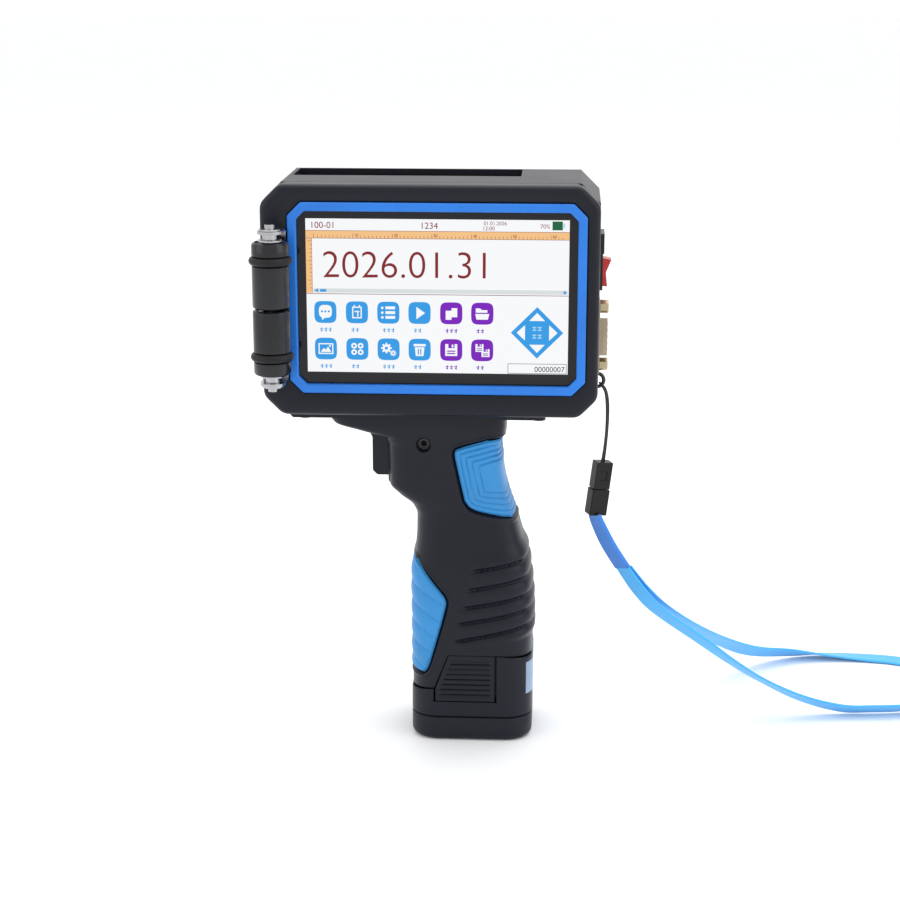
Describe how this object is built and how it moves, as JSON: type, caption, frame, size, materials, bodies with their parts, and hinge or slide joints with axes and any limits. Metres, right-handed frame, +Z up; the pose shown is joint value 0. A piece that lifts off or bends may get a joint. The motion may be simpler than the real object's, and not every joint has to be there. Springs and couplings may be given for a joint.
{
  "type": "date code inkjet printer",
  "caption": "Hand-held inkjet date coder: touch screen head with guide rollers and ports, pistol handle with trigger, slide-out battery and wrist lanyard.",
  "frame": {"origin": "middle of the battery's base, on the table", "axes": "+Z up, the screen faces -Y, the print side with its rollers faces -X"},
  "size_m": [0.3219, 0.1467, 0.2448],
  "materials": {
    "housing_plastic": "satin, fine grain",
    "blue_plastic": "satin",
    "glass": "polished",
    "display": "lit panel",
    "steel": "plated",
    "board": "solder mask",
    "chips": "matt",
    "carrier_plastic": "moulded",
    "gold": "plated",
    "ink_plastic": "moulded",
    "red_plastic": "moulded",
    "black_plastic": "moulded",
    "rubber": "matt",
    "wire": "insulated",
    "cell_wrap": "wrapped",
    "label": "plain",
    "cord_black": "braided",
    "strap_deep": "woven",
    "strap_sky": "woven"
  },
  "bodies": {
    "head": {"front_bezel": "housing_plastic", "trim_frame": "blue_plastic", "touch_glass": "glass", "lcd_module": "display", "board_standoffs": "steel", "main_board": "board", "board_parts": "chips", "rear_shell": "housing_plastic", "case_screws": "steel", "guide_plate": "steel", "guide_screws": "steel", "cartridge_carrier": "carrier_plastic", "contact_board": "gold", "usb_port": "black_plastic", "switch_housing": "black_plastic", "serial_port": "steel", "jackscrews": "gold", "lanyard_eyelet": "housing_plastic", "roller_bracket": "steel", "bracket_screws": "steel", "roller_axle": "steel", "axle_clips": "steel", "axle_washers": "steel", "axle_spacers": "steel", "neck_plate": "housing_plastic", "plate_screws": "steel", "neck_bolts": "steel", "handle_front": "housing_plastic", "handle_rear": "housing_plastic", "palm_pad_front": "blue_plastic", "palm_pad_rear": "blue_plastic", "finger_pad_front": "blue_plastic", "finger_pad_rear": "blue_plastic", "handle_screws": "black_plastic", "trigger_spring": "steel", "trigger_switch": "chips", "terminal_block": "carrier_plastic", "battery_leads": "wire", "lanyard_string": "cord_black", "buckle_socket": "black_plastic", "buckle_plug": "black_plastic", "strap_fold": "strap_deep", "strap_loop": "strap_sky"},
    "upper_roller": {"upper_roller": "housing_plastic", "upper_ring": "rubber"},
    "lower_roller": {"lower_roller": "housing_plastic", "lower_ring": "rubber"},
    "rocker": {"rocker": "red_plastic"},
    "trigger": {"trigger": "housing_plastic"},
    "battery": {"battery_housing": "housing_plastic", "battery_cap": "housing_plastic", "battery_cells": "cell_wrap", "battery_label": "label"},
    "latch_front": {"latch_front": "housing_plastic"},
    "latch_rear": {"latch_rear": "housing_plastic"},
    "cartridge": {"cartridge_body": "ink_plastic", "cartridge_lid": "red_plastic", "nozzle_plate": "gold"}
  },
  "joints": [
    {"name": "upper_roller_spin", "type": "hinge", "parent": "head", "child": "upper_roller", "pos_m": [-0.0811, -0.0435, 0.1955], "axis": [0, 0, 1], "continuous": true},
    {"name": "lower_roller_spin", "type": "hinge", "parent": "head", "child": "lower_roller", "pos_m": [-0.0811, -0.0435, 0.1955], "axis": [0, 0, 1], "continuous": true},
    {"name": "power_rocker", "type": "hinge", "parent": "head", "child": "rocker", "pos_m": [0.0534, -0.003, 0.2057], "axis": [0, -1, 0], "range_deg": [0, 16]},
    {"name": "trigger_pull", "type": "slide", "parent": "head", "child": "trigger", "axis": [1, 0, 0], "range_m": [0, 0.0055], "stiffness_N_per_m": 400, "springref_m": -0.001, "deforming": ["trigger_spring"]},
    {"name": "battery_slide", "type": "slide", "parent": "head", "child": "battery", "axis": [0, 0, -1], "range_m": [0, 0.06]},
    {"name": "latch_front_press", "type": "hinge", "parent": "battery", "child": "latch_front", "pos_m": [-0.003, -0.0224, 0.0182], "axis": [-1, 0, 0], "range_deg": [0, 4], "stiffness_Nm_per_rad": 0.3, "springref_deg": -1.15},
    {"name": "latch_rear_press", "type": "hinge", "parent": "battery", "child": "latch_rear", "pos_m": [-0.003, 0.0224, 0.0182], "axis": [1, 0, 0], "range_deg": [0, 4], "stiffness_Nm_per_rad": 0.3, "springref_deg": -1.15},
    {"name": "cartridge_lift", "type": "slide", "parent": "head", "child": "cartridge", "axis": [0.1483, 0, 0.9889], "range_m": [0, 0.09]}
  ]
}
